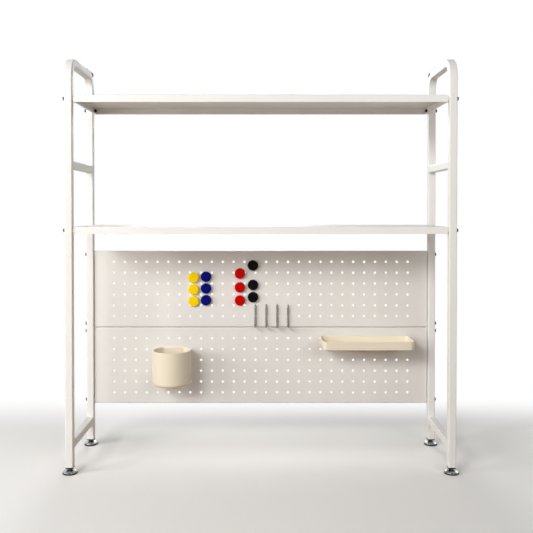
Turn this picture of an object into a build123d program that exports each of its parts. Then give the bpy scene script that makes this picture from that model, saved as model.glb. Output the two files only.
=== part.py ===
from build123d import *
import math
import os

# Side frames
frame_width = 800
frame_depth = 200
frame_height = 854
tube_side = 16
tube_wall = 1.2
tube_corner_radius = 2
frame_bend_radius = 40
leg_bottom = 14
bottom_rail_bottom = 50

# Shelves
sheet = 1
sheet_bend = 2
shelf_height = 15
shelf_setback = 3
shelf_lip = 7
shelf_lip_inset = 8
end_gap = 1.4
boss_radius = 4.6
handle_height = 78
lower_shelf_top = 507

# Pegboards
hole_pitch = 25
hole_columns = 28
hole_rows = 6
hole_radius = 2.75
panel_margin = 25
panel_seam = 1
panel_recess = 5
pegboard_bottom = 96

# Bolts and nuts
bolt_radius = 2
bolt_head_radius = 3.8
bolt_head_height = 4
bolt_head_round = 1.2
bolt_socket_radius = 1.6
bolt_socket_depth = 2.2
bolt_tail = 2
bolt_hole_gap = 0.25
nut_radius = 4
nut_height = 3.2
thread_gap = 0.05
shelf_bolt_inset = 6
panel_bolt_inset = 5.6
panel_bolt_margin = 8

# Feet
pad_radius = 15
pad_height = 2.8
pad_floor = 1
pad_round = 0.8
cap_radius = 14.2
cap_rim = 1.2
cap_height = 5
cap_top_radius = 6.4
cap_dome_share = 0.66
cap_round = 0.5
stud_radius = 2.95
stud_reach = 26
stud_tip = 0.8
collar_radius = 5
collar_height = 2.8
hex_radius = 5.8
hex_height = 2.4
insert_lip = 2.6
insert_reach = 30
insert_gap = 0.1

# Wall brackets
bracket_width = 10
bracket_thickness = 2
bracket_overlap = 22
bracket_reach = 5
bracket_drop = 8
bracket_bend = 3
bracket_hole_radius = 1.75
bracket_hole_drop = 5
bracket_screw_head_radius = 3.4
bracket_screw_length = 10
bracket_slot_length = 4.4
bracket_slot_width = 0.9
bracket_slot_depth = 1

# Things that hang on the pegboards
rest_gap = 0.3
peg_radius = 2
peg_arc_radius = 9
peg_arc_angle = 58

# Hooks
hook_first_column = 13
hook_count = 4
hook_row = 4
hook_neck = 3.2
hook_neck_bend = 3
hook_drop = 50
hook_reach = 27
hook_rise = 6
hook_bend = 8

# Pen cup
cup_radius = 43
cup_height = 78
cup_flat = 36
cup_wall = 2.4
cup_back_round = 9
cup_bottom_round = 8
cup_rim_round = 0.8
cup_rim_over_peg = 3.5
cup_columns = (5, 6)
cup_row = 1

# Tray
tray_width = 203
tray_depth = 80
tray_height = 20
tray_wall = 2.4
tray_corner_radius = 10
tray_draft = 5
tray_bottom_round = 3
tray_rim_round = 0.8
tray_rim_over_peg = 6.5
tray_columns = (20, 26)
tray_row = 0

# Magnets
magnet_radius = 12
magnet_height = 7
magnet_dome = 0.5
magnet_round = 1.6
disc_radius = 9
disc_height = 4
disc_gap = 0.1
magnet_x_shares = {"yellow": -0.2006, "blue": -0.1636, "red": -0.0623, "black": -0.0234}
magnet_z_shares = {
    "yellow": (0.6514, 0.4943, 0.34),
    "blue": (0.6629, 0.5086, 0.3543),
    "red": (0.7057, 0.5229, 0.3514),
    "black": (0.8114, 0.5543, 0.3943),
}

# Values that follow
quarter_turn = 90
full_turn = 360
leg_x = (frame_width - tube_side) / 2
leg_y = (frame_depth - tube_side) / 2
inner_width = frame_width - 2 * tube_side
end_x = inner_width / 2 - end_gap
shelf_depth = frame_depth - 2 * shelf_setback
top_shelf_top = frame_height - handle_height
shelf_tops = (lower_shelf_top, top_shelf_top)
middle_rail = (lower_shelf_top + top_shelf_top - shelf_height) / 2
panel_height = (hole_rows - 1) * hole_pitch + 2 * panel_margin
panel_front = frame_depth / 2 - tube_side + panel_recess
panel_depth = tube_side - panel_recess
panel_bottoms = (pegboard_bottom, pegboard_bottom + panel_height + panel_seam)
panel_middle = panel_front + sheet / 2
shelf_bolt_y = shelf_depth / 2 - shelf_bolt_inset
panel_bolt_y = panel_front + panel_bolt_inset
bolt_length = tube_side + end_gap + sheet + nut_height + bolt_tail
sides = {"left": -1, "right": 1}
corners = {
    "front_left": (-leg_x, -leg_y),
    "front_right": (leg_x, -leg_y),
    "rear_left": (-leg_x, leg_y),
    "rear_right": (leg_x, leg_y),
}


def along_x(radius, length):
    """A cylinder with its axis along X."""
    return Rot(0, quarter_turn, 0) * Cylinder(radius, length)


def along_y(radius, length):
    """A cylinder with its axis along Y."""
    return Rot(quarter_turn, 0, 0) * Cylinder(radius, length)


def upright(radius, bottom, top):
    """A cylinder about Z between two heights."""
    return Pos(0, 0, (bottom + top) / 2) * Cylinder(radius, top - bottom)


def rounded_path(points, radii):
    """A line through points with each corner rounded."""
    edges = []
    start = Vector(points[0])
    for before, corner, after, radius in zip(points, points[1:], points[2:], radii):
        corner = Vector(corner)
        back = (Vector(before) - corner).normalized()
        ahead = (Vector(after) - corner).normalized()
        half = math.radians(back.get_angle(ahead)) / 2
        run = radius / math.tan(half)
        inward = (back + ahead).normalized()
        middle = corner + inward * (radius / math.sin(half) - radius)
        first = corner + back * run
        last = corner + ahead * run
        edges.append(Line(start, first))
        edges.append(ThreePointArc(first, middle, last))
        start = last
    edges.append(Line(start, Vector(points[-1])))
    return Wire(edges)


def tube_section(inset):
    """The tube's square section, inset from its outside."""
    side = tube_side - 2 * inset
    return RectangleRounded(side, side, tube_corner_radius - inset)


def group(solids):
    """Several solids kept apart in one shape."""
    return Compound(children=list(solids))


def hole_x(column):
    """Where a column of peg holes lies along X."""
    return (column - (hole_columns - 1) / 2) * hole_pitch


def hole_z(panel, row):
    """The height of a row of peg holes, counted down from a panel's top."""
    return panel_bottoms[panel] + panel_height - panel_margin - row * hole_pitch


# Every bolt's height and depth on one side
shelf_bolt_spots = [(y, top - shelf_height / 2) for top in shelf_tops for y in (-shelf_bolt_y, shelf_bolt_y)]
panel_bolt_spots = [
    (panel_bolt_y, bottom + height)
    for bottom in panel_bottoms
    for height in (panel_bolt_margin, panel_height - panel_bolt_margin)
]


def bolt_holes(x, length, spots):
    """Clearance holes along X."""
    return [Pos(x, y, z) * along_x(bolt_radius + bolt_hole_gap, length) for y, z in spots]


# Bent tube of a side frame
def side_frame(side):
    x = side * leg_x
    top = frame_height - tube_side / 2
    points = (
        (x, -leg_y, leg_bottom),
        (x, -leg_y, top),
        (x, leg_y, top),
        (x, leg_y, leg_bottom),
    )
    bend = frame_bend_radius - tube_side / 2
    path = rounded_path(points, (bend, bend))
    start = Pos(x, -leg_y, leg_bottom)
    tube = sweep(start * tube_section(0), path=path) - sweep(start * tube_section(tube_wall), path=path)
    tube -= bolt_holes(x, 2 * tube_side, shelf_bolt_spots + panel_bolt_spots)
    screw = upright(bolt_radius + thread_gap, frame_height - 2 * tube_wall, frame_height + tube_wall)
    return tube - Pos(x, bracket_screw_y, 0) * screw


# Straight rail between the two legs of a side frame
def side_rail(side, middle):
    length = frame_depth - 2 * tube_side
    section = tube_section(0) - tube_section(tube_wall)
    rail = extrude(Rot(quarter_turn, 0, 0) * section, amount=length / 2, both=True)
    return Pos(side * leg_x, 0, middle) * rail


# Sheet folded down on four sides, with its outer face at the top
def folded_pan(length, depth, height):
    outer = Pos(0, 0, -height / 2) * Box(length, depth, height)
    kept = outer.edges().sort_by(Axis.Z)[4:]
    outer = fillet(kept, sheet_bend)
    inner = Pos(0, 0, -sheet - height / 2) * Box(length - 2 * sheet, depth - 2 * sheet, height)
    kept = inner.edges().sort_by(Axis.Z)[4:]
    return outer - fillet(kept, sheet_bend - sheet)


# Lip turned in under one end of a shelf
def end_lip(side):
    run = shelf_depth - 2 * shelf_lip_inset
    end = end_x
    fold = along_y(sheet_bend, run) - along_y(sheet_bend - sheet, run)
    corner = Pos(sheet_bend / 2, 0, -sheet_bend / 2) * Box(sheet_bend, run, sheet_bend)
    fold = Pos(end - sheet_bend, 0, sheet_bend) * (fold & corner)
    flat = shelf_lip - sheet_bend
    lip = fold + Pos(end - sheet_bend - flat / 2, 0, sheet / 2) * Box(flat, run, sheet)
    return lip if side > 0 else mirror(lip, about=Plane.YZ)


# Round bosses that hold a folded end just off the legs, each with its bolt hole
def bossed(pan, spots):
    for side in sides.values():
        for y, z in spots:
            pan += Pos(side * (end_x + end_gap / 2), y, z) * along_x(boss_radius, end_gap)
        pan -= bolt_holes(side * end_x, 4 * (sheet + end_gap), spots)
    return pan


# Shelf with its deck at the given height
def shelf(top):
    pan = folded_pan(2 * end_x, shelf_depth, shelf_height)
    bottom = Pos(0, 0, -shelf_height)
    notch = Box(2 * sheet_bend, shelf_depth - 2 * shelf_lip_inset, 2 * sheet_bend)
    for side in sides.values():
        pan -= bottom * Pos(side * end_x, 0, 0) * notch
        pan += bottom * end_lip(side)
    pan = Pos(0, 0, top) * pan
    return bossed(pan, [(y, top - shelf_height / 2) for y in (-shelf_bolt_y, shelf_bolt_y)])


# Perforated panel with its edges folded back
def pegboard(bottom):
    pan = folded_pan(2 * end_x, panel_height, panel_depth)
    grid = GridLocations(hole_pitch, hole_pitch, hole_columns, hole_rows)
    holes = Sketch() + [place * Circle(hole_radius) for place in grid]
    pan -= extrude(holes, amount=2 * sheet, both=True)
    pan = Pos(0, panel_front, bottom + panel_height / 2) * Rot(quarter_turn, 0, 0) * pan
    heights = (panel_bolt_margin, panel_height - panel_bolt_margin)
    return bossed(pan, [(panel_bolt_y, bottom + height) for height in heights])


# Button-head bolt pointing down, its head above zero
def bolt():
    head = upright(bolt_head_radius, 0, bolt_head_height)
    head = fillet(head.edges().group_by(Axis.Z)[-1], bolt_head_round)
    socket = extrude(RegularPolygon(bolt_socket_radius, 6), amount=bolt_socket_depth)
    head -= Pos(0, 0, bolt_head_height - bolt_socket_depth) * socket
    return head + upright(bolt_radius, -bolt_length, 0)


# Hexagon nut standing on zero
def nut():
    section = RegularPolygon(nut_radius, 6) - Circle(bolt_radius + thread_gap)
    return extrude(section, amount=nut_height)


def bolts_through(spots):
    """A bolt from outside each leg at these places."""
    one = bolt()
    return group(
        Pos(side * frame_width / 2, y, z) * Rot(0, side * quarter_turn, 0) * one
        for side in sides.values()
        for y, z in spots
    )


def nuts_inside(spots):
    """A nut inside the folded end at each of these places."""
    one = nut()
    inside = end_x - sheet
    return group(
        Pos(side * inside, y, z) * Rot(0, -side * quarter_turn, 0) * one
        for side in sides.values()
        for y, z in spots
    )


# Plastic insert pressed into a tube's end
def tube_insert():
    lip = extrude(tube_section(0), amount=insert_lip)
    plug = extrude(tube_section(tube_wall + insert_gap), amount=insert_lip + insert_reach)
    bore = upright(stud_radius + thread_gap, -insert_lip, 2 * insert_reach)
    return Pos(0, 0, leg_bottom - insert_lip) * (lip + plug - bore)


# Levels in a foot
collar_bottom = pad_floor + rest_gap
collar_top = collar_bottom + collar_height
cap_top = pad_height + cap_height
hex_bottom = cap_top + rest_gap
hex_top = hex_bottom + hex_height
stud_top = leg_bottom + stud_reach


def foot_pad():
    disc = upright(pad_radius, 0, pad_height)
    disc = fillet(disc.edges(), pad_round)
    return disc - upright(collar_radius + rest_gap, pad_floor, 2 * pad_height)


def foot_cap():
    rim = pad_height + cap_rim
    middle_radius = cap_top_radius + cap_dome_share * (cap_radius - cap_top_radius)
    middle_height = rim + cap_dome_share * (cap_top - rim)
    edge = Polyline((0, cap_top), (0, pad_height), (cap_radius, pad_height), (cap_radius, rim))
    dome = ThreePointArc((cap_radius, rim), (middle_radius, middle_height), (cap_top_radius, cap_top))
    lid = Line((cap_top_radius, cap_top), (0, cap_top))
    profile = make_face([*edge.edges(), dome, lid])
    solid = revolve(Plane.XZ * profile, axis=Axis.Z, revolution_arc=full_turn)
    solid = fillet(solid.edges().filter_by(GeomType.CIRCLE).sort_by(SortBy.RADIUS)[-2:], cap_round)
    solid -= upright(collar_radius + rest_gap, 0, collar_top + rest_gap)
    return solid - upright(stud_radius + thread_gap, 0, 2 * cap_top)


def foot_stud():
    rod = upright(stud_radius, collar_bottom, stud_top)
    rod = chamfer(rod.edges().group_by(Axis.Z)[-1], stud_tip)
    hexagon = extrude(RegularPolygon(hex_radius, 6), amount=hex_height)
    return rod + upright(collar_radius, collar_bottom, collar_top) + Pos(0, 0, hex_bottom) * hexagon


# Wall bracket on a top bar
bracket_screw_y = frame_depth / 2 - frame_bend_radius - bracket_overlap / 2
bracket_back = frame_depth / 2 + bracket_reach


def wall_bracket(side):
    length = frame_bend_radius + bracket_overlap + bracket_reach
    strip = Pos(0, -length / 2, bracket_thickness / 2) * Box(bracket_width, length, bracket_thickness)
    drop = Pos(0, -bracket_thickness / 2, bracket_thickness - bracket_drop / 2)
    bracket = strip + drop * Box(bracket_width, bracket_thickness, bracket_drop)
    outside = bracket.edges().filter_by(Axis.X).sort_by(lambda e: e.center().Y + e.center().Z)[-1]
    bracket = fillet(outside, bracket_bend)
    bracket -= Pos(0, 0, bracket_thickness - bracket_hole_drop) * along_y(bracket_hole_radius, 4 * bracket_thickness)
    bracket = Pos(side * leg_x, bracket_back, frame_height) * bracket
    sink = Cone(bolt_radius + thread_gap, bracket_screw_head_radius + thread_gap, bracket_thickness)
    sink = Pos(side * leg_x, bracket_screw_y, frame_height + bracket_thickness / 2) * sink
    return bracket - sink


# Countersunk screw that holds a wall bracket
def bracket_screw(side):
    head = Pos(0, 0, bracket_thickness / 2) * Cone(bolt_radius, bracket_screw_head_radius, bracket_thickness)
    screw = head + upright(bolt_radius, -bracket_screw_length, 0)
    slot = Pos(0, 0, bracket_thickness) * Box(bracket_slot_length, bracket_slot_width, bracket_slot_depth)
    screw -= slot
    screw -= Rot(0, 0, quarter_turn) * slot
    return Pos(side * leg_x, bracket_screw_y, frame_height) * screw


# Height of a peg that rests low in its hole
peg_drop = hole_radius - peg_radius - rest_gap


def peg_arc(x, z):
    """The curved end of a peg behind the panel."""
    ring = Pos(x, panel_middle, z) * Rot(quarter_turn, 0, 0) * Circle(peg_radius)
    centre = z + peg_arc_radius
    arc = revolve(ring, axis=Axis((x, panel_middle, centre), (1, 0, 0)), revolution_arc=peg_arc_angle)
    angle = math.radians(peg_arc_angle)
    tip = (x, panel_middle + peg_arc_radius * math.sin(angle), centre - peg_arc_radius * math.cos(angle))
    return arc + Pos(*tip) * Sphere(peg_radius)


def peg(x, z, depth):
    """A peg that grows out of a piece lying in front of the panel."""
    start = panel_front - rest_gap - depth
    root = Pos(x, (start + panel_middle) / 2, z) * along_y(peg_radius, panel_middle - start)
    return peg_arc(x, z) + root


# Steel hook
def hook(number):
    x = hole_x(hook_first_column + number)
    z = hole_z(1, hook_row) - peg_drop
    stem = panel_middle - hook_neck
    points = (
        (x, panel_middle, z),
        (x, stem, z),
        (x, stem, z - hook_drop),
        (x, stem - hook_reach, z - hook_drop + hook_rise),
    )
    path = rounded_path(points, (hook_neck_bend, hook_bend))
    ring = Pos(*points[0]) * Rot(quarter_turn, 0, 0) * Circle(peg_radius)
    wire = sweep(ring, path=path)
    return wire + Pos(*points[-1]) * Sphere(peg_radius) + peg_arc(x, z)


# Pen cup, round with a flat back
def pen_cup():
    z = hole_z(0, cup_row) - peg_drop
    columns = [hole_x(column) for column in cup_columns]
    back = Pos(0, cup_flat - cup_radius) * Rectangle(2 * cup_radius, 2 * cup_radius)
    outline = Circle(cup_radius) & back
    outline = fillet(outline.vertices(), cup_back_round)
    outer = extrude(outline, amount=cup_height)
    outer = fillet(outer.edges().group_by(Axis.Z)[0], cup_bottom_round)
    inner = extrude(offset(outline, amount=-cup_wall), amount=cup_height)
    inner = fillet(inner.edges().group_by(Axis.Z)[0], cup_bottom_round - cup_wall)
    cup = outer - Pos(0, 0, cup_wall) * inner
    cup = fillet(cup.edges().group_by(Axis.Z)[-1], cup_rim_round)
    bottom = z + peg_radius + cup_rim_over_peg - cup_height
    cup = Pos(sum(columns) / 2, panel_front - rest_gap - cup_flat, bottom) * cup
    for x in columns:
        cup += peg(x, z, cup_wall / 2)
    return cup


# Shallow tray
def tray():
    z = hole_z(0, tray_row) - peg_drop
    columns = [hole_x(column) for column in tray_columns]
    down = (0, 0, -1)
    outline = RectangleRounded(tray_width, tray_depth, tray_corner_radius)
    outer = extrude(outline, amount=tray_height, dir=down, taper=tray_draft)
    outer = fillet(outer.edges().group_by(Axis.Z)[0], tray_bottom_round)
    hollow = RectangleRounded(
        tray_width - 2 * tray_wall, tray_depth - 2 * tray_wall, tray_corner_radius - tray_wall
    )
    inner = extrude(hollow, amount=tray_height - tray_wall, dir=down, taper=tray_draft)
    inner = fillet(inner.edges().group_by(Axis.Z)[0], tray_bottom_round)
    dish = outer - inner
    dish = fillet(dish.edges().group_by(Axis.Z)[-1], tray_rim_round)
    rim = z + tray_rim_over_peg
    dish = Pos(sum(columns) / 2, panel_front - rest_gap - tray_depth / 2, rim) * dish
    for x in columns:
        dish += peg(x, z, tray_wall)
    return dish


# Magnet: plastic cap with a disc pressed into its back
def magnet_cap():
    ball_radius = (magnet_radius**2 + magnet_dome**2) / (2 * magnet_dome)
    ball = Pos(0, 0, magnet_height - ball_radius) * Rot(quarter_turn, 0, 0) * Sphere(ball_radius)
    cap = upright(magnet_radius, 0, magnet_height) & ball
    rim = cap.edges().group_by(Axis.Z)[-1]
    cap = fillet(rim, magnet_round)
    return cap - upright(disc_radius + disc_gap, -disc_height, disc_height)


def magnet_disc():
    return upright(disc_radius, 0, disc_height)


def on_board(piece, place):
    """A piece built upwards, laid against the panel facing forward."""
    x, z = place
    return Pos(x, panel_front - rest_gap, z) * Rot(quarter_turn, 0, 0) * piece


# Every piece by name
pieces = {
    "lower_shelf": shelf(lower_shelf_top),
    "top_shelf": shelf(top_shelf_top),
    "lower_pegboard": pegboard(panel_bottoms[0]),
    "upper_pegboard": pegboard(panel_bottoms[1]),
    "shelf_bolts": bolts_through(shelf_bolt_spots),
    "shelf_nuts": nuts_inside(shelf_bolt_spots),
    "pegboard_screws": bolts_through(panel_bolt_spots),
    "pegboard_nuts": nuts_inside(panel_bolt_spots),
    "foot_inserts": group(Pos(x, y, 0) * tube_insert() for x, y in corners.values()),
    "wall_brackets": group(wall_bracket(side) for side in sides.values()),
    "bracket_screws": group(bracket_screw(side) for side in sides.values()),
    "pen_cup": pen_cup(),
    "tray": tray(),
}
for name, side in sides.items():
    pieces[f"{name}_side_frame"] = side_frame(side)
    pieces[f"{name}_middle_rail"] = side_rail(side, middle_rail)
    pieces[f"{name}_bottom_rail"] = side_rail(side, bottom_rail_bottom + tube_side / 2)
for name, (x, y) in corners.items():
    pieces[f"{name}_foot_pad"] = Pos(x, y, 0) * foot_pad()
    pieces[f"{name}_foot_cap"] = Pos(x, y, 0) * foot_cap()
    pieces[f"{name}_foot_stud"] = Pos(x, y, 0) * foot_stud()
for number in range(hook_count):
    pieces[f"hook_{number + 1}"] = hook(number)
for colour, x_share in magnet_x_shares.items():
    for number, z_share in enumerate(magnet_z_shares[colour], 1):
        place = (x_share * inner_width, panel_bottoms[-1] + z_share * panel_height)
        pieces[f"{colour}_magnet_{number}_cap"] = on_board(magnet_cap(), place)
        pieces[f"{colour}_magnet_{number}_disc"] = on_board(magnet_disc(), place)

os.makedirs("parts", exist_ok=True)
for name, shape in pieces.items():
    export_step(shape, f"parts/{name}.step")
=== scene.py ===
"""Finishes, small details, studio light and camera for a white steel desk-top shelf with pegboards."""

import logging
import math
from dataclasses import dataclass, field
from enum import Enum
from typing import Iterable, Sequence

import bpy
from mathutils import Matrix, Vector


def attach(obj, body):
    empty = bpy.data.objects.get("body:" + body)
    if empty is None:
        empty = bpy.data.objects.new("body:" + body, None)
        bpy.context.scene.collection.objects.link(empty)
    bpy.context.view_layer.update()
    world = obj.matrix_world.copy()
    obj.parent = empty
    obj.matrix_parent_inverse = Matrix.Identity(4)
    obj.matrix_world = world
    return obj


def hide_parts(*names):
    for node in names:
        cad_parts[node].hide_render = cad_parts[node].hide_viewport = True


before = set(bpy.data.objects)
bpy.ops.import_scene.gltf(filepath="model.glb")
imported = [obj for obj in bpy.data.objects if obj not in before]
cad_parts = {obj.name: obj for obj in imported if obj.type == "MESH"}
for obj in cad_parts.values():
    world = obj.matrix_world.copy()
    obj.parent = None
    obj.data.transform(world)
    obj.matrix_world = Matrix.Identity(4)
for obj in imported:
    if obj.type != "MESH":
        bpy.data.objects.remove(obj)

log = logging.getLogger("desk_shelf")

MM = 0.001

Colour = tuple[float, float, float]
Point = tuple[float, float, float]


class Side(Enum):
    """The two ends of the shelf, with the sign of X at each."""

    LEFT = -1
    RIGHT = 1


class Corner(Enum):
    """The four legs, with the signs of X and Y at each."""

    FRONT_LEFT = (-1, -1)
    FRONT_RIGHT = (1, -1)
    REAR_LEFT = (-1, 1)
    REAR_RIGHT = (1, 1)

    @property
    def label(self) -> str:
        """The corner's name as the nodes spell it."""
        return self.name.lower()


class Grain(Enum):
    """Kinds of fine surface relief."""

    NONE = "none"
    POWDER = "powder"
    MOULDED = "moulded"
    DRAWN = "drawn"


# ---------------------------------------------------------------------------
# Shader node groups
# ---------------------------------------------------------------------------


class NodeGroup:
    """A shader node group that is built once and placed in several materials."""

    label = "group"
    inputs: Sequence[tuple[str, str, object]] = ()
    outputs: Sequence[tuple[str, str]] = ()
    _made: dict[str, bpy.types.ShaderNodeTree] = {}

    def tree(self) -> bpy.types.ShaderNodeTree:
        """Give the group's node tree, building it at the first call.

        Returns:
            The shared node tree.
        """
        if self.label not in self._made:
            tree = bpy.data.node_groups.new(self.label, "ShaderNodeTree")
            for name, kind, value in self.inputs:
                socket = tree.interface.new_socket(name, in_out="INPUT", socket_type=kind)
                socket.default_value = value
            for name, kind in self.outputs:
                tree.interface.new_socket(name, in_out="OUTPUT", socket_type=kind)
            self.wire(tree, tree.nodes.new("NodeGroupInput"), tree.nodes.new("NodeGroupOutput"))
            self._made[self.label] = tree
        return self._made[self.label]

    def wire(self, tree: bpy.types.ShaderNodeTree, start: bpy.types.Node, end: bpy.types.Node) -> None:
        """Fill the tree with nodes between its input and output nodes."""
        raise NotImplementedError

    @staticmethod
    def noise(tree: bpy.types.ShaderNodeTree, vector: bpy.types.NodeSocket, scale: bpy.types.NodeSocket,
              detail: float) -> bpy.types.NodeSocket:
        """Add a noise texture.

        Args:
            tree: The tree that takes the node.
            vector: The socket with the place on the surface.
            scale: The socket with the noise's scale.
            detail: The number of octaves.

        Returns:
            The noise's factor socket.
        """
        node = tree.nodes.new("ShaderNodeTexNoise")
        node.inputs["Detail"].default_value = detail
        tree.links.new(vector, node.inputs["Vector"])
        tree.links.new(scale, node.inputs["Scale"])
        return node.outputs["Fac"]

    @staticmethod
    def math(tree: bpy.types.ShaderNodeTree, operation: str, first: bpy.types.NodeSocket,
             second: object) -> bpy.types.NodeSocket:
        """Add a math node.

        Args:
            tree: The tree that takes the node.
            operation: The node's operation.
            first: The first operand's socket.
            second: The second operand, a socket or a plain number.

        Returns:
            The result's socket.
        """
        node = tree.nodes.new("ShaderNodeMath")
        node.operation = operation
        tree.links.new(first, node.inputs[0])
        if isinstance(second, bpy.types.NodeSocket):
            tree.links.new(second, node.inputs[1])
        else:
            node.inputs[1].default_value = second
        return node.outputs[0]


class PowderGrain(NodeGroup):
    """Fine orange-peel relief of a baked powder coat."""

    label = "powder_grain"
    inputs = (("Place", "NodeSocketVector", (0, 0, 0)), ("Scale", "NodeSocketFloat", 700.0))
    outputs = (("Height", "NodeSocketFloat"),)
    fine_detail: float = 2.0
    coarse_detail: float = 1.0
    coarse_scale: float = 0.22
    coarse_height: float = 0.6

    def wire(self, tree: bpy.types.ShaderNodeTree, start: bpy.types.Node, end: bpy.types.Node) -> None:
        """Mix a fine and a coarser noise."""
        place, scale = start.outputs["Place"], start.outputs["Scale"]
        fine = self.noise(tree, place, scale, self.fine_detail)
        wide = self.math(tree, "MULTIPLY", scale, self.coarse_scale)
        coarse = self.noise(tree, place, wide, self.coarse_detail)
        coarse = self.math(tree, "MULTIPLY", coarse, self.coarse_height)
        tree.links.new(self.math(tree, "ADD", fine, coarse), end.inputs["Height"])


class MouldedGrain(NodeGroup):
    """Even spark-eroded texture of a moulded plastic."""

    label = "moulded_grain"
    inputs = (("Place", "NodeSocketVector", (0, 0, 0)), ("Scale", "NodeSocketFloat", 900.0))
    outputs = (("Height", "NodeSocketFloat"),)
    smoothness: float = 0.8
    noise_detail: float = 1.0

    def wire(self, tree: bpy.types.ShaderNodeTree, start: bpy.types.Node, end: bpy.types.Node) -> None:
        """Take cells from a smooth Voronoi texture and soften them with noise."""
        cells = tree.nodes.new("ShaderNodeTexVoronoi")
        cells.feature = "SMOOTH_F1"
        cells.inputs["Smoothness"].default_value = self.smoothness
        tree.links.new(start.outputs["Place"], cells.inputs["Vector"])
        tree.links.new(start.outputs["Scale"], cells.inputs["Scale"])
        fine = self.noise(tree, start.outputs["Place"], start.outputs["Scale"], self.noise_detail)
        tree.links.new(self.math(tree, "ADD", cells.outputs["Distance"], fine), end.inputs["Height"])


class DrawnGrain(NodeGroup):
    """Faint lines along a drawn wire or a turned part."""

    label = "drawn_grain"
    inputs = (("Place", "NodeSocketVector", (0, 0, 0)), ("Scale", "NodeSocketFloat", 1500.0))
    outputs = (("Height", "NodeSocketFloat"),)
    squeeze: Point = (1.0, 1.0, 0.04)
    line_detail: float = 2.0

    def wire(self, tree: bpy.types.ShaderNodeTree, start: bpy.types.Node, end: bpy.types.Node) -> None:
        """Stretch a noise along Z."""
        stretch = tree.nodes.new("ShaderNodeMapping")
        stretch.inputs["Scale"].default_value = self.squeeze
        tree.links.new(start.outputs["Place"], stretch.inputs["Vector"])
        lines = self.noise(tree, stretch.outputs["Vector"], start.outputs["Scale"], self.line_detail)
        tree.links.new(lines, end.inputs["Height"])


class Handling(NodeGroup):
    """Slow changes of tone and gloss left by making, handling and wiping."""

    label = "handling"
    inputs = (
        ("Place", "NodeSocketVector", (0, 0, 0)),
        ("Scale", "NodeSocketFloat", 9.0),
        ("Base", "NodeSocketColor", (1, 1, 1, 1)),
        ("Shade", "NodeSocketColor", (1, 1, 1, 1)),
        ("Rough Low", "NodeSocketFloat", 0.4),
        ("Rough High", "NodeSocketFloat", 0.5),
    )
    outputs = (("Colour", "NodeSocketColor"), ("Roughness", "NodeSocketFloat"))
    tone_window: tuple[float, float] = (0.35, 0.65)
    tone_detail: float = 3.0
    gloss_window: tuple[float, float] = (0.3, 0.7)
    gloss_detail: float = 2.0
    gloss_scale: float = 3.7

    def wire(self, tree: bpy.types.ShaderNodeTree, start: bpy.types.Node, end: bpy.types.Node) -> None:
        """Mix the two tones by a soft noise and the two gloss levels by a finer one."""
        place, scale = start.outputs["Place"], start.outputs["Scale"]
        slow = tree.nodes.new("ShaderNodeMapRange")
        slow.inputs["From Min"].default_value, slow.inputs["From Max"].default_value = self.tone_window
        tree.links.new(self.noise(tree, place, scale, self.tone_detail), slow.inputs["Value"])
        tone = tree.nodes.new("ShaderNodeMix")
        tone.data_type = "RGBA"
        tree.links.new(slow.outputs["Result"], tone.inputs["Factor"])
        tree.links.new(start.outputs["Base"], tone.inputs["A"])
        tree.links.new(start.outputs["Shade"], tone.inputs["B"])
        tree.links.new(tone.outputs["Result"], end.inputs["Colour"])
        wide = self.math(tree, "MULTIPLY", scale, self.gloss_scale)
        gloss = tree.nodes.new("ShaderNodeMapRange")
        gloss.inputs["From Min"].default_value, gloss.inputs["From Max"].default_value = self.gloss_window
        tree.links.new(self.noise(tree, place, wide, self.gloss_detail), gloss.inputs["Value"])
        tree.links.new(start.outputs["Rough Low"], gloss.inputs["To Min"])
        tree.links.new(start.outputs["Rough High"], gloss.inputs["To Max"])
        tree.links.new(gloss.outputs["Result"], end.inputs["Roughness"])


GRAIN_GROUPS: dict[Grain, NodeGroup] = {
    Grain.POWDER: PowderGrain(),
    Grain.MOULDED: MouldedGrain(),
    Grain.DRAWN: DrawnGrain(),
}
HANDLING = Handling()


# ---------------------------------------------------------------------------
# Finishes
# ---------------------------------------------------------------------------


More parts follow.
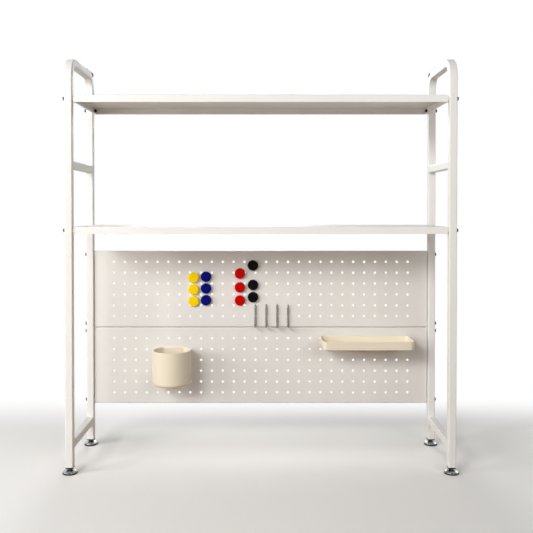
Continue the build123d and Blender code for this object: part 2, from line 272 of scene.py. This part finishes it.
@dataclass(frozen=True)
class Finish:
    """One finish of the shelf.

    Attributes:
        slot: The record's material slot.
        base: The main colour, linear.
        shade: The second tone, linear.
        rough: The lowest and highest roughness.
        metallic: 1 for bare metal.
        grain: The kind of fine relief.
        grain_scale: Grains per metre.
        grain_depth: The relief's height in metres.
        specular: The strength of the plain reflection.
        tone_scale: Patches of tone per metre.
    """

    slot: str
    base: Colour
    shade: Colour
    rough: tuple[float, float]
    metallic: float = 0.0
    grain: Grain = Grain.NONE
    grain_scale: float = 800.0
    grain_depth: float = 0.00002
    specular: float = 0.5
    tone_scale: float = 6.0

    def material(self) -> bpy.types.Material:
        """Give the finish's material, building it at the first call.

        Returns:
            The material, named after the slot.
        """
        found = bpy.data.materials.get(f"finish_{self.slot}")
        if found:
            return found
        made = bpy.data.materials.new(f"finish_{self.slot}")
        made.use_nodes = True
        tree = made.node_tree
        shader = tree.nodes["Principled BSDF"]
        shader.inputs["Metallic"].default_value = self.metallic
        shader.inputs["Specular IOR Level"].default_value = self.specular
        place = tree.nodes.new("ShaderNodeTexCoord").outputs["Object"]
        wear = tree.nodes.new("ShaderNodeGroup")
        wear.node_tree = HANDLING.tree()
        wear.inputs["Scale"].default_value = self.tone_scale
        wear.inputs["Base"].default_value = (*self.base, 1)
        wear.inputs["Shade"].default_value = (*self.shade, 1)
        wear.inputs["Rough Low"].default_value = self.rough[0]
        wear.inputs["Rough High"].default_value = self.rough[1]
        tree.links.new(place, wear.inputs["Place"])
        tree.links.new(wear.outputs["Colour"], shader.inputs["Base Color"])
        tree.links.new(wear.outputs["Roughness"], shader.inputs["Roughness"])
        if self.grain is not Grain.NONE:
            self._relief(tree, place, shader)
        return made

    def _relief(self, tree: bpy.types.NodeTree, place: bpy.types.NodeSocket, shader: bpy.types.Node) -> None:
        """Add the fine relief through a Bump node.

        Args:
            tree: The material's tree.
            place: The socket with the place on the surface.
            shader: The Principled BSDF.
        """
        grain = tree.nodes.new("ShaderNodeGroup")
        grain.node_tree = GRAIN_GROUPS[self.grain].tree()
        grain.inputs["Scale"].default_value = self.grain_scale
        bump = tree.nodes.new("ShaderNodeBump")
        bump.inputs["Strength"].default_value = 1.0
        bump.inputs["Distance"].default_value = self.grain_depth
        tree.links.new(place, grain.inputs["Place"])
        tree.links.new(grain.outputs["Height"], bump.inputs["Height"])
        tree.links.new(bump.outputs["Normal"], shader.inputs["Normal"])


WHITE_FRAME = Finish("white_frame", (0.845, 0.835, 0.81), (0.83, 0.818, 0.79), (0.40, 0.50),
                     grain=Grain.POWDER, grain_depth=0.00003, specular=0.45)
# The shelves take a lighter copy of the frame's white powder coat: painted light.
SHELF_WHITE_WITH_PAINTED_LIGHT = Finish("white_shelf", (0.875, 0.865, 0.84), (0.86, 0.848, 0.82), (0.40, 0.50),
                     grain=Grain.POWDER, grain_depth=0.00003, specular=0.45, tone_scale=4.0)
# The panels take a darker copy of the frame's white powder coat: painted shade, for the shade under the
# shelves.
PANEL_WHITE_WITH_PAINTED_SHADE = Finish("white_panel", (0.795, 0.772, 0.742), (0.78, 0.755, 0.722), (0.46, 0.56),
                     grain=Grain.POWDER, grain_depth=0.00003, specular=0.4, tone_scale=4.0)
BLACK_STEEL = Finish("black_steel", (0.010, 0.010, 0.011), (0.016, 0.016, 0.017), (0.34, 0.46), specular=0.25)
BLACK_PLASTIC = Finish("black_plastic", (0.009, 0.009, 0.0095), (0.013, 0.013, 0.0135), (0.42, 0.55),
                       grain=Grain.MOULDED, specular=0.25)
BLACK_RUBBER = Finish("black_rubber", (0.013, 0.013, 0.013), (0.02, 0.02, 0.02), (0.62, 0.75),
                      grain=Grain.MOULDED, grain_depth=0.00004, specular=0.3)
CHROME = Finish("chrome", (0.50, 0.50, 0.51), (0.47, 0.47, 0.48), (0.05, 0.09), metallic=1.0)
# The studs' metal is darkened far below plain zinc: a painted dark reflection.
ZINC_WITH_PAINTED_DARK_REFLECTION = Finish("zinc_steel", (0.09, 0.09, 0.092), (0.07, 0.07, 0.072), (0.16, 0.24), metallic=1.0,
                   tone_scale=60.0)
# The hooks' metal is darkened to about half of plain nickel: painted shade.
NICKEL_WITH_PAINTED_SHADE = Finish("bright_steel", (0.30, 0.287, 0.264), (0.25, 0.238, 0.218), (0.18, 0.28), metallic=1.0,
                grain=Grain.DRAWN, grain_depth=0.00002, tone_scale=40.0)
CREAM = Finish("cream_plastic", (0.855, 0.77, 0.615), (0.84, 0.75, 0.595), (0.40, 0.50), grain=Grain.MOULDED,
               grain_depth=0.00002, specular=0.45, tone_scale=14.0)
YELLOW = Finish("yellow_plastic", (0.98, 0.70, 0.003), (0.95, 0.67, 0.003), (0.30, 0.38), specular=0.05,
                tone_scale=30.0)
BLUE = Finish("blue_plastic", (0.002, 0.005, 0.165), (0.002, 0.005, 0.15), (0.30, 0.38), specular=0.05,
              tone_scale=30.0)
RED = Finish("red_plastic", (0.55, 0.002, 0.002), (0.52, 0.002, 0.002), (0.30, 0.38), specular=0.05,
             tone_scale=30.0)
BLACK_GLOSS = Finish("black_plastic_gloss", (0.002, 0.002, 0.002), (0.004, 0.004, 0.004), (0.30, 0.38),
                     specular=0.05, tone_scale=30.0)
FERRITE = Finish("ferrite", (0.05, 0.05, 0.053), (0.07, 0.07, 0.072), (0.55, 0.7), grain=Grain.POWDER,
                 tone_scale=80.0)


# ---------------------------------------------------------------------------
# Meshes
# ---------------------------------------------------------------------------


@dataclass
class MeshMaker:
    """Collects points and faces of one mesh piece."""

    points: list[Point] = field(default_factory=list)
    faces: list[tuple[int, ...]] = field(default_factory=list)

    def rings(self, rings: Sequence[Sequence[Point]], closed: bool = False) -> None:
        """Add a skin over rings with equal numbers of points.

        Args:
            rings: The rings in order, each with its points in order.
            closed: Whether the last ring joins the first; if not, both ends get flat faces.
        """
        base = len(self.points)
        count = len(rings[0])
        for ring in rings:
            self.points.extend(ring)
        spans = len(rings) if closed else len(rings) - 1
        for i in range(spans):
            a = base + i * count
            b = base + (i + 1) % len(rings) * count
            for j in range(count):
                k = (j + 1) % count
                self.faces.append((a + j, a + k, b + k, b + j))
        if not closed:
            last = base + (len(rings) - 1) * count
            self.faces.append(tuple(reversed(range(base, base + count))))
            self.faces.append(tuple(range(last, last + count)))

    def turned(self, centre: tuple[float, float], profile: Iterable[tuple[float, float]], sides: int) -> None:
        """Add a closed form about a vertical axis.

        Args:
            centre: X and Y of the axis.
            profile: Pairs of radius and height, from the bottom up.
            sides: The number of sides, 6 for a hexagon.
        """
        angles = [2 * math.pi * i / sides for i in range(sides)]
        self.rings([
            [(centre[0] + r * math.cos(a), centre[1] + r * math.sin(a), z) for a in angles]
            for r, z in profile
        ])

    def piece(self, name: str, finish: Finish, body: str, sharp_deg: float = 35.0) -> bpy.types.Object:
        """Make the object, dress it and let it ride on a body.

        Args:
            name: The piece's name.
            finish: Its finish.
            body: The body that carries it.
            sharp_deg: The angle above which an edge stays sharp.

        Returns:
            The new object.
        """
        mesh = bpy.data.meshes.new(name)
        mesh.from_pydata(self.points, [], self.faces)
        mesh.validate()
        mesh.shade_smooth()
        mesh.set_sharp_from_angle(angle=math.radians(sharp_deg))
        mesh.materials.append(finish.material())
        made = bpy.data.objects.new(name, mesh)
        bpy.context.scene.collection.objects.link(made)
        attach(made, body)
        log.info("built %s with %d points", name, len(self.points))
        return made


class Assembly:
    """A sub-assembly of CAD nodes and the pieces added to them."""

    def dress(self, node: str, finish: Finish) -> None:
        """Give a CAD node its finish.

        Args:
            node: The node's name.
            finish: The finish it takes.
        """
        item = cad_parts[node]
        item.data.materials.clear()
        item.data.materials.append(finish.material())
        log.info("dressed %s in %s", node, finish.slot)

    def build(self) -> None:
        """Dress the nodes and add the pieces."""
        raise NotImplementedError


@dataclass
class SideFrames(Assembly):
    """The two bent tubes, their rails and the weld beads at the rails' ends.

    Attributes:
        leg_x: X of the legs' middle.
        leg_inside_y: Y of the legs' faces that the rails meet.
        tube_half: Half the tube's width.
        tube_corner: The radius of the tube's edges.
        middle_rail_z: The height of the middle rails' middle.
        bottom_rail_z: The height of the bottom rails' middle.
        bead_radius: The bead's mean radius.
        bead_sink: How deep the bead's middle lies in the tubes.
        ripple: The ripples' height as a share of the radius.
        ripple_length: The length of one ripple.
        bead_step: The spacing of the rings along a bead.
        bead_sides: The number of points in a ring.
        settle: How far the bead moves towards the leg at the rail's outer and inner sides.
        settle_share: The part of that move that it goes inwards too.
        flat_tolerance: The slack in telling those sides from top and bottom.
    """

    leg_x: float = 392 * MM
    leg_inside_y: float = 84 * MM
    tube_half: float = 8 * MM
    tube_corner: float = 2 * MM
    middle_rail_z: float = 634 * MM
    bottom_rail_z: float = 58 * MM
    bead_radius: float = 1.15 * MM
    bead_sink: float = 0.35 * MM
    ripple: float = 0.14
    ripple_length: float = 1.7 * MM
    bead_step: float = 0.42 * MM
    bead_sides: int = 10
    settle: float = 0.8 * MM
    settle_share: float = 0.6
    flat_tolerance: float = 1e-9

    def build(self) -> None:
        """Dress tubes and rails, then add a bead round each rail's two ends."""
        for side in Side:
            label = side.name.lower()
            for node in ("side_frame", "middle_rail", "bottom_rail"):
                self.dress(f"{label}_{node}", WHITE_FRAME)
            beads = MeshMaker()
            for height in (self.middle_rail_z, self.bottom_rail_z):
                for end in (-1, 1):
                    self._bead(beads, side.value * self.leg_x, height, end)
            beads.piece(f"{label}_rail_welds", WHITE_FRAME, "frame")

    def _loop(self) -> list[tuple[float, float]]:
        """Walk round a rail's outline.

        Returns:
            Pairs of X and Z from the rail's middle, evenly spaced.
        """
        reach = self.tube_half - self.bead_sink
        turn = self.tube_corner
        flat = reach - turn
        arc = math.pi / 2 * turn
        length = 8 * flat + 4 * arc
        count = round(length / self.bead_step)
        places = []
        for i in range(count):
            along = length * i / count
            quarter, rest = divmod(along, 2 * flat + arc)
            if rest < 2 * flat:
                x, z = reach, rest - flat
            else:
                angle = (rest - 2 * flat) / turn
                x, z = flat + turn * math.cos(angle), flat + turn * math.sin(angle)
            spin = quarter * math.pi / 2
            places.append((x * math.cos(spin) - z * math.sin(spin), x * math.sin(spin) + z * math.cos(spin)))
        return places

    def _bead(self, maker: MeshMaker, x: float, z: float, end: int) -> None:
        """Add one rippled bead round a rail's end.

        Args:
            maker: The mesh that takes the bead.
            x: The rail's X.
            z: The rail's height.
            end: -1 at the front leg and 1 at the rear leg.
        """
        loop = self._loop()
        y = end * (self.leg_inside_y - self.bead_sink)
        rings = []
        for i, (dx, dz) in enumerate(loop):
            out = Vector((dx, 0, dz)).normalized()
            edge = max(abs(dx), abs(dz))
            settle = self.settle if abs(dx) >= edge - self.flat_tolerance else 0.0
            centre = Vector((x + dx - out.x * settle * self.settle_share, y + end * settle, z + dz))
            wave = 1 + self.ripple * math.sin(2 * math.pi * i * self.bead_step / self.ripple_length)
            radius = self.bead_radius * wave
            angles = [2 * math.pi * k / self.bead_sides for k in range(self.bead_sides)]
            rings.append([
                tuple(centre + radius * (out * math.cos(a) + Vector((0, math.sin(a), 0)))) for a in angles
            ])
        maker.rings(rings, closed=True)


@dataclass
class Shelves(Assembly):
    """The two folded shelves."""

    nodes: tuple[str, ...] = ("top_shelf", "lower_shelf")

    def build(self) -> None:
        """Dress both shelves."""
        for node in self.nodes:
            self.dress(node, SHELF_WHITE_WITH_PAINTED_LIGHT)


@dataclass
class Pegboards(Assembly):
    """The two perforated panels."""

    nodes: tuple[str, ...] = ("upper_pegboard", "lower_pegboard")

    def build(self) -> None:
        """Dress both panels."""
        for node in self.nodes:
            self.dress(node, PANEL_WHITE_WITH_PAINTED_SHADE)


@dataclass
class Fasteners(Assembly):
    """Bolts, nuts, screws, wall brackets and tube inserts."""

    steel: tuple[str, ...] = (
        "shelf_bolts", "shelf_nuts", "pegboard_screws", "pegboard_nuts", "wall_brackets", "bracket_screws",
    )
    plastic: tuple[str, ...] = ("foot_inserts",)

    def build(self) -> None:
        """Dress the black steel and the black plastic."""
        for node in self.steel:
            self.dress(node, BLACK_STEEL)
        for node in self.plastic:
            self.dress(node, BLACK_PLASTIC)


@dataclass
class LevellingFeet(Assembly):
    """Pads, chrome caps and studs, with a cut thread on each stud.

    Attributes:
        leg_x: X of the legs' middle.
        leg_y: Y of the legs' middle.
        collar_radius: The radius of the stud's foot between pad and cap.
        collar_bottom: The height of the collar's lower face.
        collar_top: The height of its upper face.
        stud_radius: The radius over the thread.
        hex_radius: The hexagon's radius over its corners.
        hex_bottom: The height of the hexagon's lower face.
        hex_top: The height of its upper face.
        hex_chamfer: The bevel at the hexagon's edges.
        stud_top: The height of the stud's tip.
        stud_tip: The bevel at the tip.
        thread_pitch: The rise per turn.
        thread_depth: The depth of the groove.
        thread_start: Where the groove starts to run in.
        thread_sides: The number of points in a ring of the thread.
        rows_per_turn: The number of rings per turn.
        groove_slope: How fast the groove's flanks rise; above 1 leaves a flat crest.
        round_sides: The number of sides of the round forms.
        hex_sides: The number of sides of the hexagon.
    """

    leg_x: float = 392 * MM
    leg_y: float = 92 * MM
    collar_radius: float = 5 * MM
    collar_bottom: float = 1.3 * MM
    collar_top: float = 4.1 * MM
    stud_radius: float = 2.95 * MM
    hex_radius: float = 5.8 * MM
    hex_bottom: float = 8.1 * MM
    hex_top: float = 10.5 * MM
    hex_chamfer: float = 0.6 * MM
    stud_top: float = 40 * MM
    stud_tip: float = 0.8 * MM
    thread_pitch: float = 1 * MM
    thread_depth: float = 0.5 * MM
    thread_start: float = 10.7 * MM
    thread_sides: int = 24
    rows_per_turn: int = 8
    groove_slope: float = 1.15
    round_sides: int = 48
    hex_sides: int = 6

    def build(self) -> None:
        """Dress pads and caps, and put a threaded stud in place of each plain one."""
        for corner in Corner:
            self.dress(f"{corner.label}_foot_pad", BLACK_RUBBER)
            self.dress(f"{corner.label}_foot_cap", CHROME)
            self.dress(f"{corner.label}_foot_stud", ZINC_WITH_PAINTED_DARK_REFLECTION)
            self._stud(corner)

    def _stud(self, corner: Corner) -> None:
        """Build one stud.

        Args:
            corner: The leg it belongs to.
        """
        centre = (corner.value[0] * self.leg_x, corner.value[1] * self.leg_y)
        maker = MeshMaker()
        maker.turned(centre, (
            (self.collar_radius, self.collar_bottom), (self.collar_radius, self.collar_top),
        ), self.round_sides)
        maker.turned(centre, (
            (self.stud_radius, self.collar_top), (self.stud_radius, self.hex_bottom),
        ), self.round_sides)
        small = self.hex_radius - self.hex_chamfer
        maker.turned(centre, (
            (small, self.hex_bottom), (self.hex_radius, self.hex_bottom + self.hex_chamfer / 2),
            (self.hex_radius, self.hex_top - self.hex_chamfer / 2), (small, self.hex_top),
        ), self.hex_sides)
        maker.rings(self._thread(centre))
        stud = maker.piece(f"{corner.label}_threaded_stud", ZINC_WITH_PAINTED_DARK_REFLECTION, f"{corner.label}_stud")
        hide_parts(f"{corner.label}_foot_stud")

    def _thread(self, centre: tuple[float, float]) -> list[list[Point]]:
        """Cut a right-hand thread into a rod.

        Args:
            centre: X and Y of the rod's axis.

        Returns:
            Rings of points from the hexagon to the stud's tip.
        """
        rows = round((self.stud_top - self.hex_top) / self.thread_pitch * self.rows_per_turn)
        rings = []
        for row in range(rows + 1):
            z = self.hex_top + (self.stud_top - self.hex_top) * row / rows
            limit = min(self.stud_radius, self.stud_radius - self.stud_tip + self.stud_top - z)
            ring = []
            for side in range(self.thread_sides):
                share = side / self.thread_sides
                phase = (z / self.thread_pitch - share) % 1.0
                groove = max(0.0, 1 - abs(2 * phase - 1) * self.groove_slope)
                runout = min(1.0, max(0.0, (z - self.thread_start) / self.thread_pitch))
                radius = min(limit, self.stud_radius - self.thread_depth * groove * runout)
                angle = 2 * math.pi * share
                ring.append((centre[0] + radius * math.cos(angle), centre[1] + radius * math.sin(angle), z))
            rings.append(ring)
        return rings


@dataclass
class Holders(Assembly):
    """The cream pen cup and tray that hang on the panels."""

    nodes: tuple[str, ...] = ("pen_cup", "tray")

    def build(self) -> None:
        """Dress the cup and the tray."""
        for node in self.nodes:
            self.dress(node, CREAM)


@dataclass
class Hooks(Assembly):
    """The bright wire hooks."""

    count: int = 4

    def build(self) -> None:
        """Dress each hook."""
        for number in range(1, self.count + 1):
            self.dress(f"hook_{number}", NICKEL_WITH_PAINTED_SHADE)


@dataclass
class Magnets(Assembly):
    """Round magnets: a plastic cap over a ferrite disc."""

    per_colour: int = 3
    colours: dict[str, Finish] = field(default_factory=lambda: {
        "yellow": YELLOW, "blue": BLUE, "red": RED, "black": BLACK_GLOSS,
    })

    def build(self) -> None:
        """Dress every cap and disc."""
        for colour, finish in self.colours.items():
            for number in range(1, self.per_colour + 1):
                self.dress(f"{colour}_magnet_{number}_cap", finish)
                self.dress(f"{colour}_magnet_{number}_disc", FERRITE)


# ---------------------------------------------------------------------------
# Studio
# ---------------------------------------------------------------------------


SHELF_MIDDLE: Point = (0.0, 0.0, 0.42)


@dataclass(frozen=True)
class Softbox:
    """One rectangular studio lamp."""

    name: str
    place: Point
    aim: Point
    size: tuple[float, float]
    watts: float

    def build(self) -> None:
        """Hang the lamp and turn it to its aim."""
        lamp = bpy.data.lights.new(self.name, "AREA")
        lamp.shape = "RECTANGLE"
        lamp.size, lamp.size_y = self.size
        lamp.energy = self.watts
        item = bpy.data.objects.new(self.name, lamp)
        item.location = self.place
        item.rotation_euler = (Vector(self.aim) - Vector(self.place)).to_track_quat("-Z", "Y").to_euler()
        bpy.context.scene.collection.objects.link(item)


@dataclass
class Studio:
    """Floor, world, lamps and camera.

    Attributes:
        floor_half: Half the floor's width.
        fade_back: Where the floor turns white behind the shelf.
        fade_front: Where it turns white in front, as distances from the middle.
        fade_side: Where it turns white at both sides.
        floor_seen: The floor's colour as the camera sees it.
        floor_bounce: The floor's colour for the light that it throws back.
        floor_rough: The floor's roughness.
        floor_specular: The strength of its plain reflection.
        soft_colour: The colour of the even light.
        ambient: The strength of the even light.
        room_level: The level of the room in front, for reflections.
        room_span: The directions in Y over which that level rises to white.
        lamps: The studio lamps.
        eye: The camera's place.
        pitch_deg: How far the camera looks down.
        lens_mm: The focal length.
        sensor_mm: The sensor's width.
        clip: The nearest and farthest distance drawn.
        shift: The lens shift, as shares of the sensor's width.
    """

    floor_half: float = 30.0
    fade_back: tuple[float, float] = (0.16, 0.5)
    fade_front: tuple[float, float] = (0.45, 1.3)
    fade_side: tuple[float, float] = (0.5, 1.2)
    floor_seen: Colour = (0.95, 0.935, 0.91)
    floor_bounce: Colour = (0.34, 0.255, 0.175)
    floor_rough: float = 0.6
    floor_specular: float = 0.2
    soft_colour: Colour = (1.0, 0.985, 0.965)
    ambient: float = 0.075
    room_level: float = 0.12
    room_span: tuple[float, float] = (-0.35, 0.25)
    lamps: tuple[Softbox, ...] = (
        Softbox("side", (-2.1, -1.0, 0.75), SHELF_MIDDLE, (1.0, 0.8), 29.0),
        Softbox("key", (-1.6, -2.6, 1.8), SHELF_MIDDLE, (1.4, 0.8), 59.0),
        Softbox("fill", (1.4, -2.8, 1.3), SHELF_MIDDLE, (1.5, 1.0), 23.0),
        Softbox("back", (-0.25, 3.0, 1.6), SHELF_MIDDLE, (1.0, 1.2), 30.0),
        Softbox("right", (1.3, 0.5, 0.55), (0.4, 0.0, 0.45), (0.8, 1.0), 2.75),
    )
    eye: Point = (0.0017, -1.5674, 0.5413)
    pitch_deg: float = 0.8
    lens_mm: float = 48.72
    sensor_mm: float = 36.0
    clip: tuple[float, float] = (0.05, 100.0)
    shift: tuple[float, float] = (0.0093, -0.0873)

    def build(self) -> None:
        """Set the stage."""
        bpy.context.scene.view_settings.view_transform = "Standard"
        self._world()
        self._floor()
        for lamp in self.lamps:
            lamp.build()
        self._camera()

    @staticmethod
    def _seen(tree: bpy.types.NodeTree) -> bpy.types.NodeSocket:
        """Give 1 where the background is seen directly, in a reflection or through something clear.

        Args:
            tree: The tree that takes the nodes.

        Returns:
            The mask's socket.
        """
        path = tree.nodes.new("ShaderNodeLightPath")
        first = NodeGroup.math(tree, "MAXIMUM", path.outputs["Is Camera Ray"], path.outputs["Is Glossy Ray"])
        return NodeGroup.math(tree, "MAXIMUM", first, path.outputs["Is Transmission Ray"])

    @staticmethod
    def _ramp(tree: bpy.types.NodeTree, value: bpy.types.NodeSocket,
              span: tuple[float, float], low: float = 0.0) -> bpy.types.NodeSocket:
        """Rise smoothly to 1 over a span.

        Args:
            tree: The tree that takes the node.
            value: The socket that drives the rise.
            span: Where it starts and ends.
            low: The level before the span.

        Returns:
            The level's socket.
        """
        ramp = tree.nodes.new("ShaderNodeMapRange")
        ramp.interpolation_type = "SMOOTHSTEP"
        ramp.inputs["From Min"].default_value, ramp.inputs["From Max"].default_value = span
        ramp.inputs["To Min"].default_value = low
        tree.links.new(value, ramp.inputs["Value"])
        return ramp.outputs["Result"]

    def _world(self) -> None:
        """Make a white background over a soft even light, with a dimmer room in front for reflections."""
        world = bpy.data.worlds.new("studio")
        bpy.context.scene.world = world
        world.use_nodes = True
        tree = world.node_tree
        tree.nodes.clear()
        soft = tree.nodes.new("ShaderNodeBackground")
        soft.inputs["Color"].default_value = (*self.soft_colour, 1)
        soft.inputs["Strength"].default_value = self.ambient
        white = tree.nodes.new("ShaderNodeBackground")
        white.inputs["Color"].default_value = (1, 1, 1, 1)
        place = tree.nodes.new("ShaderNodeSeparateXYZ")
        tree.links.new(tree.nodes.new("ShaderNodeTexCoord").outputs["Generated"], place.inputs["Vector"])
        room = self._ramp(tree, place.outputs["Y"], self.room_span, self.room_level)
        path = tree.nodes.new("ShaderNodeLightPath")
        plain = NodeGroup.math(tree, "SUBTRACT", self._seen(tree), path.outputs["Is Glossy Ray"])
        tree.links.new(NodeGroup.math(tree, "MAXIMUM", plain, room), white.inputs["Strength"])
        mix = tree.nodes.new("ShaderNodeMixShader")
        tree.links.new(self._seen(tree), mix.inputs["Fac"])
        tree.links.new(soft.outputs["Background"], mix.inputs[1])
        tree.links.new(white.outputs["Background"], mix.inputs[2])
        end = tree.nodes.new("ShaderNodeOutputWorld")
        tree.links.new(mix.outputs["Shader"], end.inputs["Surface"])

    def _floor(self) -> None:
        """Lay a pale floor that fades to the white background."""
        half = self.floor_half
        mesh = bpy.data.meshes.new("floor")
        corners = [(-half, -half, 0), (half, -half, 0), (half, half, 0), (-half, half, 0)]
        mesh.from_pydata(corners, [], [(0, 1, 2, 3)])
        floor = bpy.data.objects.new("floor", mesh)
        bpy.context.scene.collection.objects.link(floor)
        made = bpy.data.materials.new("floor_paint")
        made.use_nodes = True
        mesh.materials.append(made)
        tree = made.node_tree
        paint = tree.nodes["Principled BSDF"]
        paint.inputs["Base Color"].default_value = (*self.floor_seen, 1)
        paint.inputs["Roughness"].default_value = self.floor_rough
        paint.inputs["Specular IOR Level"].default_value = self.floor_specular
        bounce = tree.nodes.new("ShaderNodeBsdfDiffuse")
        bounce.inputs["Color"].default_value = (*self.floor_bounce, 1)
        seen = self._seen(tree)
        near = tree.nodes.new("ShaderNodeMixShader")
        tree.links.new(seen, near.inputs["Fac"])
        tree.links.new(bounce.outputs["BSDF"], near.inputs[1])
        tree.links.new(paint.outputs["BSDF"], near.inputs[2])
        place = tree.nodes.new("ShaderNodeSeparateXYZ")
        tree.links.new(tree.nodes.new("ShaderNodeTexCoord").outputs["Object"], place.inputs["Vector"])
        front = NodeGroup.math(tree, "MULTIPLY", place.outputs["Y"], -1.0)
        across = NodeGroup.math(tree, "ABSOLUTE", place.outputs["X"], 0.0)
        fade = self._ramp(tree, place.outputs["Y"], self.fade_back)
        fade = NodeGroup.math(tree, "MAXIMUM", fade, self._ramp(tree, front, self.fade_front))
        fade = NodeGroup.math(tree, "MAXIMUM", fade, self._ramp(tree, across, self.fade_side))
        white = tree.nodes.new("ShaderNodeEmission")
        white.inputs["Strength"].default_value = 1.0
        mix = tree.nodes.new("ShaderNodeMixShader")
        tree.links.new(NodeGroup.math(tree, "MULTIPLY", fade, seen), mix.inputs["Fac"])
        tree.links.new(near.outputs["Shader"], mix.inputs[1])
        tree.links.new(white.outputs["Emission"], mix.inputs[2])
        tree.links.new(mix.outputs["Shader"], tree.nodes["Material Output"].inputs["Surface"])

    def _camera(self) -> None:
        """Set the camera at the photograph's place."""
        lens = bpy.data.cameras.new("camera")
        lens.sensor_width = self.sensor_mm
        lens.sensor_fit = "HORIZONTAL"
        lens.lens = self.lens_mm
        lens.shift_x, lens.shift_y = self.shift
        lens.clip_start, lens.clip_end = self.clip
        item = bpy.data.objects.new("camera", lens)
        item.location = self.eye
        item.rotation_euler = (math.radians(90 - self.pitch_deg), 0, 0)
        bpy.context.scene.collection.objects.link(item)
        bpy.context.scene.camera = item


def main() -> None:
    """Build the sub-assemblies and the studio in order."""
    logging.basicConfig(level=logging.INFO, format="%(name)s: %(message)s")
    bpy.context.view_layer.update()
    for assembly in (SideFrames(), Shelves(), Pegboards(), Fasteners(), LevellingFeet(), Holders(), Hooks(),
                     Magnets()):
        assembly.build()
        log.info("finished %s", type(assembly).__name__)
    Studio().build()


if __name__ == "__main__":
    main()
